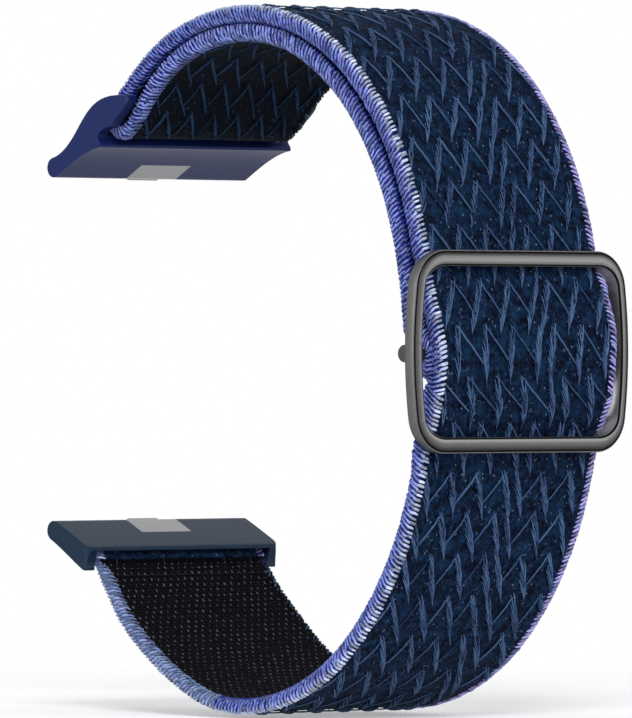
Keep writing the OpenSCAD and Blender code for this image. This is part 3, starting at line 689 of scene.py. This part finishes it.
def yarns(name, s0, s1, mat, plane, row, shift, at_x, at_y, mirror, bold=1.0, pitch=PITCH_X, gap=PAIR_GAP):
    """Feathery upright strokes joined by thin slanting threads. at_x, at_y: the top of the left one of
    the close pair of strokes in one row; row: the rows' pitch; shift: each row's step to the right."""
    top = CORE_T / 2
    y0, y1 = plane.rows(s0, s1)
    points = 8
    t = np.linspace(0, 1, points)
    taper = (2 * t - 1) ** 4
    wave = np.sin(2 * np.pi * t)
    lines, radii, tag = [], [], []

    def put(x, y, n, r, k):
        s, across = plane.local(x, y)
        lines.append(np.stack([s, across, top + (n - top) * np.interp(s, FLAT_S, FLAT_LIFT)], -1))
        radii.append(r)
        tag.append(k)

    for i in range(int(math.floor((y0 - at_y) / row)) - 1, int(math.ceil((y1 - at_y) / row)) + 1):
        y_top = at_y + i * row + rng.normal(0, 0.05)
        for k in range(-14, 15):
            x = at_x + i * shift + k * pitch + (gap - pitch if k > 0 else 0)
            x += rng.normal(0, 0.07)
            if abs(plane.local(x, y_top + row / 2)[1]) > CORE_HALF + 0.8:
                continue
            lean = mirror * rng.normal(0.16, 0.06)
            length = row * rng.uniform(1.10, 1.20)
            shade = rng.uniform(-0.1, 0.1)
            wide = STROKE_W * bold * rng.uniform(0.85, 1.12)
            fibres = int(FIBRES * (0.45 + 0.55 * bold))
            for f in range(fibres):
                a = (f + rng.uniform(0, 1)) / fibres * 0.80 - 0.02
                b = a + rng.uniform(0.20, 0.34)
                q = a + (b - a) * t
                body = np.clip(np.sin(np.pi * np.clip(0.10 + 0.86 * q, 0, 1)), 0.12, 1) ** 0.7
                side = -1 if f % 2 else 1
                lat = side * (1.0 - 0.95 * t) * rng.uniform(0.65, 1.15) + rng.uniform(-0.25, 0.25)
                px = x - lean * (q - 0.5) * 2 + wide * body * lat
                n = top + 0.05 + (0.16 + 0.10 * t) * bold * body + rng.uniform(-0.03, 0.03)
                n = n - 0.16 * (1 - t) ** 4
                r = FIBRE_R * (0.5 + 0.5 * bold) * rng.uniform(0.75, 1.2) * (1 - 0.6 * taper)
                put(px, y_top + q * length, n, r, shade + rng.uniform(0.2, 0.8))
            if gap < pitch and k == (0 if mirror > 0 else 1):
                continue
            # The thin thread from this stroke's top to the foot of the next, on the side it leans to
            for f in range(3):
                px = x - mirror * 0.08 + mirror * (pitch + 0.02) * (t + 0.05 * wave) + rng.normal(0, 0.035)
                py = y_top + 0.3 + row * (0.76 * t + 0.035 * np.sin(2 * np.pi * t + 0.4))
                py = py + rng.normal(0, 0.05) - 0.3 * np.exp(-((t - 0.1) / 0.1) ** 2)
                n = top + 0.07 + 0.08 * np.sin(np.pi * t) + 0.02 * f
                r = THREAD_R * (0.6 + 0.4 * bold) * (1 - 0.45 * taper) * rng.uniform(0.75, 1.15)
                put(px, py, n, r * (0.6 if f == 2 else 1), shade + rng.uniform(0.4, 0.95))
            # Loose fibre ends beside the lower half
            for f in range(4):
                d = rng.normal(0, 0.25, 2)
                px = x + rng.uniform(-0.5, 1.0) * mirror + d[0] * t
                py = y_top + row * rng.uniform(0.3, 0.95) + abs(d[1]) * t
                n = top + 0.02 + 0.08 * np.sin(np.pi * t)
                put(px, py, n, np.full(points, HAIR_R), rng.uniform(0.6, 1.0))
    lines, radii, tag = np.array(lines), np.array(radii), np.array(tag)
    edge = CORE_HALF - 0.02
    mid = lines[:, points // 2]
    keep = (mid[:, 0] > s0) & (mid[:, 0] < s1) & (abs(mid[:, 1]) < edge)
    lines, radii, tag = lines[keep], radii[keep], tag[keep]
    # What passes the binding or the piece's end is tucked into the cloth
    over = (abs(lines[..., 1]) > edge) | (lines[..., 0] < s0 + 0.02) | (lines[..., 0] > s1 - 0.02)
    lines[..., 2] = np.where(over, top - 0.15, lines[..., 2])
    lines[..., 1] = np.clip(lines[..., 1], -edge - 0.1, edge + 0.1)
    lines[..., 0] = np.clip(lines[..., 0], s0 + 0.02, s1 - 0.02) + np.linspace(0, 2e-3, points)[None, :]
    pts, faces = tubes(lines, radii, (0, 0, 1.0), 4)
    uvs = stack(pts.shape[:3], tag[:, None, None], pts[..., 0])
    return new_object(name, bent(pts), faces, [mat], uvs=uvs)


# -------------------------------- the overlocked bindings
# The binding's reach off the mid-line: on the woven side, on the other side, and what is added there
# where two strands lie back to back and at the slider's foot on the near edge
FACE_H, BACK_H, PAIR_MORE, FOOT_MORE = 0.74, 0.72, 0.34, 0.85
INSET = 0.13  # the ground and the threads' mid-lines lie this far inside the binding's width
# Each row of the overlock's loops: [from, to] round the section, lean in pitches, offset in pitches,
# thickness. The first are the bright hooks over the corner of the woven face.
LOOPS = ((0.0, 0.30, 0.28, 0.0, 0.15), (0.22, 0.46, 0.45, 0.45, 0.122), (0.40, 0.63, 0.5, 0.95, 0.118),
         (0.57, 0.81, 0.5, 0.4, 0.118), (0.76, 1.0, 0.45, 0.9, 0.112))
LOOP_PITCH = 0.49
FAR_LEAN, FAR_FINE = 0.3, 0.84  # the far edge's loops lean more and are finer


def back_h(s, side):
    """The binding's reach on the other side, which grows and fades smoothly along the strip."""
    pair = np.interp(s, [S_HIGH - 1, S_HIGH + 1, S_FOLD - 5, S_FOLD - 3, S_FOLD + 3, S_FOLD + 5,
                         S_TAIL0 - 1, S_TAIL0 + 1], [0, 1, 1, 0, 0, 1, 1, 0])
    foot = np.interp(s, [S_LOW - 3, S_LOW + 1, S_TURN + 0.9, S_TURN + 2.4], [0, 1, 1, 0]) * (side < 0)
    return BACK_H + PAIR_MORE * pair + FOOT_MORE * foot


def section(k):
    """The binding's outline in (outwards from the core, share of its reach), woven face first."""
    a = np.radians(np.linspace(90, -90, k))
    out = (EDGE_W - 0.02) * np.cos(a) ** 0.62
    off = np.sign(np.sin(a)) * abs(np.sin(a)) ** 0.8
    return np.concatenate([[-0.05], out, [-0.05]]), np.concatenate([[0.97], off, [-0.97]])


def reach(off, s, side):
    """The outline's distance off the mid-line. The binding thins with the ply at both sewn ends."""
    thin = np.interp(thickness(s), [HEM_T, TAIL_T, CORE_T], [0.42, 0.5, 1.0])
    return off * np.where(off > 0, FACE_H, back_h(s, side)) * thin, thin


def binding(name, s0, s1, side, mat):
    """The smooth ground of one binding, under its stitches."""
    ss = stations(s0, s1, 0.8)[:, None]
    out, off = section(9)
    n = 0.86 * reach(off[None, :], ss, side)[0]
    rows, m = n.shape
    faces = grid_faces(rows, m, True)
    if side > 0:
        faces = faces[:, ::-1]
    caps = [[r * m + i, r * m + i + 1, r * m + m - 2 - i, r * m + m - 1 - i]
            for r in (0, rows - 1) for i in range(m // 2 - 1)]
    pts = stack(n.shape, ss, side * (CORE_HALF + out - INSET), n)
    return new_object(name, bent(pts), np.vstack([faces, caps]), [mat],
                      uvs=stack(n.shape, np.linspace(0, 1, m), ss))


def stitches(name, s0, s1, side, mat):
    """The overlock thread: rows of short slanted loops from the woven face round the side to the back.
    They lean one way under the slider's bar and the other way above it."""
    out, off = section(17)
    around = np.concatenate([[0], np.cumsum(np.hypot(np.diff(out), np.diff(off * FACE_H)))])
    around /= around[-1]
    t = np.linspace(0, 1, 8)[None, :]
    bow = (2 * t - 1) ** 4
    count = int((s1 - s0) / LOOP_PITCH)
    step = (s1 - s0) / count
    rows = []
    for a0, a1, lean, offset, fat in LOOPS:
        if side > 0:
            lean, fat = lean + FAR_LEAN, fat * FAR_FINE
        base = s0 + (np.arange(count) + 0.1 + offset) * step + rng.normal(0, 0.1 * step, count)
        turn = np.where(base < S_TURN, -1, 1)[:, None]
        a = a0 + (a1 - a0) * t + rng.normal(0, 0.018, (count, 1))
        slant = lean * (1 - 2 * t) * LOOP_PITCH * rng.uniform(0.75, 1.25, (count, 1))
        s = np.clip(base[:, None] + turn * slant, s0 + 0.01, s1 - 0.01)
        tuck = 0.13 * bow + rng.normal(0, 0.016, (count, 1))
        x = side * (CORE_HALF + np.interp(a, around, out) * (1 - 0.2 * tuck) - INSET)
        n, thin = reach(np.interp(a, around, off), s, side)
        r = fat * rng.uniform(0.8, 1.2, (count, 1)) * (1 - 0.55 * bow) * np.clip(thin, 0.6, 1)
        rows.append((np.stack([s, x, n * (1 - tuck)], -1), r, np.clip(a, 0, 1), rng.random(count)))
    lines, radii, where, tag = (np.concatenate(q) for q in zip(*rows))
    pts, faces = tubes(lines, radii, (1.0, 0, 0), 6)
    return new_object(name, bent(pts), faces, [mat],
                      uvs=stack(pts.shape[:3], where[:, :, None], tag[:, None, None]))


def seam(name, s, face, mat):
    """A row of short sewn stitches across the strip."""
    half, count = 10.6, 22
    t = np.linspace(0, 1, 7)[None, :]
    x = (np.arange(count)[:, None] + 0.12 + 0.76 * t) * 2 * half / count - half
    n = face * (thickness(s) / 2 + 0.10 * np.sin(np.pi * t) - 0.03)
    pts, faces = tubes(stack(x.shape, s, x, n), np.full(x.shape, 0.11), (1.0, 0, 0), 6)
    each = rng.random(count)[:, None, None]
    return new_object(name, bent(pts), faces, [mat], uvs=stack(pts.shape[:3], each, pts[..., 1]))


def settle(objs, where):
    for o in objs:
        if where == "slider":
            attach(o, "slider")
        elif where == "high":
            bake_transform(o)
        else:
            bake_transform(o)


low_core = slab("lower_strand", 0.0, S_LOW, M["face"])
mid_core = slab("bridge_strand", S_LOW, S_HIGH, M["face"])
high_core = slab("upper_strand", S_HIGH, S_FOLD, M["face"])
in_core = slab("inner_strand", S_FOLD, strip.length, M["face_in"])

s_hem = S_END + 0.8
centre = strip.near(zone_c + (bridge_u - zone_c[0]) * pol(0), S_LOW, S_HIGH)
inner_at = strip.near(up_end_c + (up_end_r - 2.6) * pol(121), S_FOLD)
outer = Plane(s_hem, S_FOLD, centre, 40)
inner = Plane(S_FOLD, strip.length, inner_at, 53)
low_yarn = yarns("lower_zigzag", s_hem, S_LOW, M["yarn"], outer, 4.23, -1.0, -3.4, 15.9, -1)
mid_yarn = yarns("bridge_zigzag", S_LOW, S_HIGH, M["yarn"], outer, 4.8, 0.9, 0.9, -2.85, 1)
high_yarn = yarns("upper_zigzag", S_HIGH, S_FOLD - 1.2, M["yarn"], outer, 4.38, 1.02, -4.9, -26.4, 1)
in_yarn = yarns("inner_zigzag", S_FOLD + 1.5, S_TAIL0, M["yarn_in"], inner, 3.15, -1.26, -4.85, 0.0, -1,
                0.5, 2.42, 2.42)
settle([low_core, low_yarn], "low")
settle([mid_core, mid_yarn], "slider")
settle([high_core, in_core, high_yarn, in_yarn], "high")

S_SMOOTH = S_END + 24  # up to here the lower binding looks smooth and pale
# The far edge, the inner strand and the tail take the copies of thread and ground with painted shade
for side, edge_name, thread, under, smooth in ((-1, "near", "stitch", "stitch_in", "stitch_low"),
                                               (1, "far", "stitch_far", "stitch_in_far", "stitch_far")):
    for label, a, b, where, mat in (("hem", 0.35, S_SMOOTH, "low", smooth),
                                    ("lower", S_SMOOTH, S_LOW, "low", thread),
                                    ("bridge", S_LOW, S_HIGH, "slider", thread),
                                    ("upper", S_HIGH, S_FOLD, "high", thread),
                                    ("inner", S_FOLD, S_TAIL0 + 2, "high", under),
                                    ("tail", S_TAIL0 + 2, strip.length - 0.15, "high", "stitch_tail")):
        settle([binding(f"{label}_binding_{edge_name}", a, b, side, M[UNDER[mat]]),
                stitches(f"{label}_overlock_{edge_name}", a, b, side, M[mat])], where)

settle([seam("tail_seam_a", strip.length - 1.0, 1, M["sew"]),
        seam("tail_seam_b", strip.length - 2.4, 1, M["sew"])], "high")
settle([seam("hem_seam", S_END + 1.5, -1, M["sew_dark"])], "low")

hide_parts("lower_run", "lower_travel")
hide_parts("bridge")
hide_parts("upper_travel", "outer_run", "upper_fold")
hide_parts("inner_run", "inner_travel", "tail")
for node in ("lower_run_edges", "lower_travel_edges"):
    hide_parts(node)
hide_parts("bridge_edges")
for node in ("upper_travel_edges", "outer_run_edges", "upper_fold_edges"):
    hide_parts(node)
for node in ("inner_run_edges", "inner_travel_edges"):
    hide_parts(node)
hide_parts("tail_edges")

# -------------------------------- the slider's frame
FRAME_W, FRAME_H, FRAME_D = 30.4, 20.8, 1.15
# The bars' width above and below and at the sides, the ring's rise, and the extra depth of its sides
FRAME_BAR, SIDE_BAR, RISE, DEEPER = 1.62, 1.2, 0.2, 0.38
# The corners' and the bowed sides' radius, and the ring's distance off the strip
FRAME_R, SIDE_R, STAND = 4.0, 51.0, 0.35


def bar_section(w, slope, d):
    """A bar of the frame: outer wall, thin rim, groove, a face that rises inwards, and the inner wall,
    as [inwards, back from the front, painted light and shade]: painted shade is black in the groove and
    at the face's inner edge and darkens the face outwards, painted light brightens the face inwards and
    the inner wall. slope: how far the inner wall leans in."""
    return [(w + slope - 0.14, d, 0.5), (0.14, d, 0.5), (0.04, d - 0.06, 0.5), (0.0, d - 0.16, 0.62),
            (0.0, 0.34, 0.66), (0.02, 0.26, 0.66), (0.07, 0.2, 0.62), (0.14, 0.2, 0.4), (0.17, 0.26, 0.0),
            (0.2, 0.36, 0.0), (0.25, 0.36, 0.0), (0.28, 0.2, 0.14), (0.34, 0.14, 0.34),
            (0.34 + 0.3 * (w - 0.58), 0.07, 0.56), (0.34 + 0.65 * (w - 0.58), 0.015, 0.66),
            (w - 0.22, 0.0, 0.70), (w - 0.18, 0.02, 0.3), (w - 0.15, 0.1, 0.0), (w - 0.06, 0.14, 0.0),
            (w, 0.12, 0.55), (w + 0.03, 0.17, 0.8), (w + slope, d - 0.16, 0.95),
            (w + slope - 0.04, d - 0.06, 0.6)]


def slider_ring():
    """The frame's ring, narrower at the sides and wider above and below."""
    side_c = np.array([FRAME_W / 2 - SIDE_R, 0.0])
    up = FRAME_H / 2 - FRAME_R
    corner_c = side_c + [math.sqrt((SIDE_R - FRAME_R) ** 2 - up**2), up]
    meet = math.degrees(math.atan2(up, corner_c[0] - side_c[0]))
    quarter = [(*(side_c + SIDE_R * pol(a)), a) for a in np.linspace(0, meet, 12)]
    quarter += [(*(corner_c + FRAME_R * pol(a)), a) for a in np.linspace(meet, 90, 26)[1:]]
    half = quarter + [(-x, z, 180 - a) for x, z, a in quarter[::-1]]
    loop = half + [(x, -z, -a) for x, z, a in half[-2:0:-1]]
    pts, uvs = [], []
    for x, z, a in loop:
        c, s = pol(a)
        wide = SIDE_BAR + (FRAME_BAR - SIDE_BAR) * s * s
        slope = 0.3 * abs(c) + 0.5 * abs(2 * c * s)
        # tone is the painted light and shade across the bar, carried in UV x
        for f, b, tone in bar_section(wide, slope, FRAME_D + DEEPER * abs(c)):
            pts.append((x - f * c, -(REACH + STAND) - FRAME_D + b, z - f * s - DROP + RISE))
            uvs.append((tone, a / 360))
    row = np.arange(len(pts)).reshape(len(loop), -1)
    after = np.roll(row, -1, 0)
    faces = np.stack([row, np.roll(row, -1, 1), np.roll(after, -1, 1), after], -1).reshape(-1, 4)
    obj = new_object("slider_ring", np.array(pts) * MM, faces, [M["frame"]], uvs=uvs)
    obj.data.set_sharp_from_angle(angle=math.radians(40))
    return obj


def ear(name, side):
    """One of the two rounded ears behind the frame's sides, which carry the centre bar."""
    back = REACH + STAND
    r = back - BAR[0] + 0.25
    x0, x1 = FRAME_W / 2 - SIDE_BAR + 0.1, FRAME_W / 2 - 0.1
    outline = [BAR + r * pol(a) for a in np.linspace(90, 270, 28)]
    outline = np.array(outline + [[back + 0.2, BAR[1] - r], [back + 0.2, BAR[1] + r]])
    # Across the ear: [place, share of the outline], rounded off at both ends
    rings = ((x0, 0.88), (x0 + 0.1, 0.97), (x0 + 0.2, 1.0), (x1 - 0.2, 1.0), (x1 - 0.1, 0.97), (x1, 0.88))
    verts = [(side * x, -p[0], p[1]) for x, k in rings for p in BAR + (outline - BAR) * k]
    m, n = len(outline), len(verts)
    verts += [(side * x, -BAR[0], BAR[1]) for x in (x0, x1)]
    faces = grid_faces(len(rings), m, True).tolist()
    faces += [[(j + 1) % m, j, n] for j in range(m)]
    faces += [[n - m + j, n - m + (j + 1) % m, n + 1] for j in range(m)]
    mesh = bpy.data.meshes.new(name)
    mesh.from_pydata((np.array(verts) * MM).tolist(), [], faces)
    mesh.materials.append(M["ear"])
    bm = bmesh.new()
    bm.from_mesh(mesh)
    bmesh.ops.recalc_face_normals(bm, faces=bm.faces)
    bm.to_mesh(mesh)
    bm.free()
    mesh.polygons.foreach_set("use_smooth", [True] * len(faces))
    mesh.set_sharp_from_angle(angle=math.radians(32))
    mesh.update()
    return add_object(name, mesh)


ring = slider_ring()
for o in (ring, ear("slider_ear_near", -1), ear("slider_ear_far", 1)):
    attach(o, "slider")
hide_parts("slider_frame")


# -------------------------------- carried-over metal parts
def dress(node, mat, bevel=0.0, segments=3):
    """Gives a CAD node its finish, with edges softened by bevel, in mm."""
    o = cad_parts[node]
    o.data.materials.clear()
    o.data.materials.append(mat)
    if bevel:
        m = o.modifiers.new("soft_edges", "BEVEL")
        m.width = bevel * MM
        m.segments = segments
        m.limit_method = "ANGLE"
        m.angle_limit = math.radians(38)


dress("upper_connector", M["royal"], 0.16)
dress("lower_connector", M["petrol"], 0.14)
for node in ("upper_latch_cover", "upper_latch", "lower_latch_cover", "lower_latch"):
    dress(node, M["steel"], 0.06, 2)
for node in ("upper_bar", "lower_pin", "upper_latch_springs", "lower_latch_springs"):
    dress(node, M["steel"])
dress("slider_bar", M["gun"])

# -------------------------------- studio
# The level camera that was fitted to the photo: what it looks at and how far it stands away, in m, and
# its lens in the photo's pixels
TARGET, CAM_AWAY = Vector((0.0, -0.0267, -0.02035)), 0.969
FOCAL_PX, PHOTO_H, SENSOR = 9215, 718, 36


def look(obj, along):
    """Turns a camera or a lamp to look along a direction."""
    obj.rotation_mode = "QUATERNION"
    obj.rotation_quaternion = along.to_track_quat("-Z", "Y")


cam_data = bpy.data.cameras.new("camera")
cam = add_object("camera", cam_data)
away = Vector((-math.sin(AZ), -math.cos(AZ), 0.0))
cam.location = TARGET + away * CAM_AWAY
look(cam, -away)
cam_data.sensor_width = SENSOR
cam_data.lens = FOCAL_PX / PHOTO_H * SENSOR
cam_data.clip_start, cam_data.clip_end = 0.01, 20
bpy.context.scene.camera = cam

# Round lamps: place in m, power in W, size in m
LAMPS = (("key", (-0.42, -0.55, 0.42), 4.2, 0.32), ("fill", (0.55, -0.6, 0.15), 1.7, 0.4),
         ("side", (-0.6, 0.1, 0.1), 1.5, 0.35), ("low", (-0.2, -0.55, -0.05), 0.7, 0.3))
for name, loc, power, size in LAMPS:
    light = bpy.data.lights.new(name, "AREA")
    light.energy = power
    light.shape = "DISK"
    light.size = size
    lamp = add_object(name, light)
    lamp.location = loc
    look(lamp, Vector((0, -0.03, -0.02)) - Vector(loc))

world = bpy.data.worlds.new("world")
bpy.context.scene.world = world
sky = Tree(world)
sky.nodes.clear()
dim = sky.add("ShaderNodeBackground", (0.93, 0.95, 1.0, 1), 0.33)
white = sky.add("ShaderNodeBackground", (1, 1, 1, 1), 1.0)
# The white backdrop is what the camera, mirrors and glass see; the cloth gets the dimmer light
rays = sky.add("ShaderNodeLightPath").outputs
shown = rays["Is Camera Ray"]
for ray in ("Is Glossy Ray", "Is Transmission Ray"):
    shown = sky.add("ShaderNodeMath", shown, rays[ray], operation="MAXIMUM").outputs[0]
mixer = sky.add("ShaderNodeMixShader", shown, dim.outputs[0], white.outputs[0])
sky.add("ShaderNodeOutputWorld", mixer.outputs[0])

# The floor: a disc that glows faintly and fades out towards its rim
FLOOR_R, FLOOR_Y, FLOOR_SIDES = 0.16, -0.02, 96
foot_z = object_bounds()[0].z
disc = [(FLOOR_R * math.cos(a), FLOOR_Y + FLOOR_R * math.sin(a), foot_z - 0.0003)
        for a in np.linspace(0, 2 * math.pi, FLOOR_SIDES, endpoint=False)]
floor_mesh = bpy.data.meshes.new("floor")
floor_mesh.from_pydata(disc, [], [list(range(FLOOR_SIDES))])
g = Graph("floor")
spot = g.add("ShaderNodeTexCoord").outputs["Object"]
apart = g.add("ShaderNodeVectorMath", spot, (0, FLOOR_Y, foot_z), operation="DISTANCE")
fade = g.add("ShaderNodeMapRange", apart.outputs["Value"], 0.05, FLOOR_R * 0.96)
g.finish((0.8, 0.8, 0.8, 1), 0.9)
g.put(g.bsdf.inputs["Emission Color"], (1, 1, 1, 1))
g.put(g.bsdf.inputs["Emission Strength"], 0.35)
clear = g.add("ShaderNodeBsdfTransparent")
cover = g.add("ShaderNodeMixShader", fade.outputs[0], g.bsdf.outputs[0], clear.outputs[0])
g.link(cover.outputs[0], g.nodes["Material Output"].inputs[0])
floor_mesh.materials.append(g.mat)
add_object("floor", floor_mesh)

bpy.context.scene.view_settings.view_transform = "Standard"
